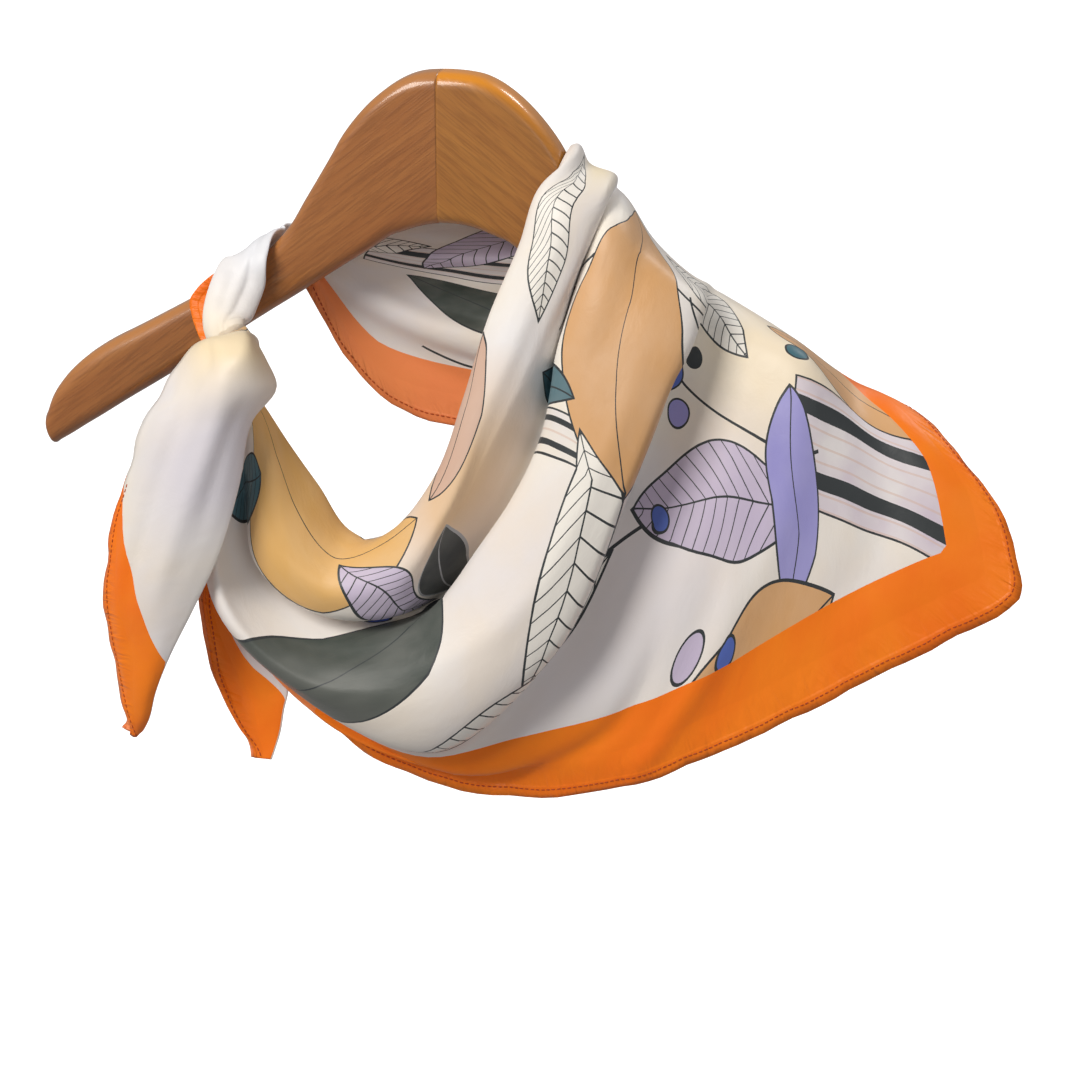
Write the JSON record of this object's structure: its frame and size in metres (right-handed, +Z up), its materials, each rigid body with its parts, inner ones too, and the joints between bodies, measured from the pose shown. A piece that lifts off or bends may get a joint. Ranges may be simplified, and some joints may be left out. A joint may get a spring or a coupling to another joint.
{
  "type": "square scarf tied on a wooden hanger",
  "caption": "Satin square scarf with an orange border, folded to a triangle, draped in a cowl over a wooden hanger and tied at one side.",
  "frame": {"origin": "top of the hanger's hump, where the hanger is held", "axes": "+Z up, +X to the viewer's right along the hanger, the front of the scarf faces -Y"},
  "size_m": [0.4746, 0.1159, 0.3383],
  "materials": {
    "satin_print": "satin, printed, soft sheen",
    "satin_border": "satin, orange border, soft sheen",
    "lacquered_wood": "gloss lacquer over straight grain"
  },
  "bodies": {
    "root": {"cowl_upper": "satin_print", "cowl_lower": "satin_print", "front_panel": "satin_print", "back_drape": "satin_print", "shoulder_roll": "satin_print", "knot": "satin_print", "tail_front": "satin_border", "tail_rear": "satin_border", "roll_border": "satin_border", "hanger_left": "lacquered_wood", "hanger_right": "lacquered_wood"}
  },
  "joints": []
}
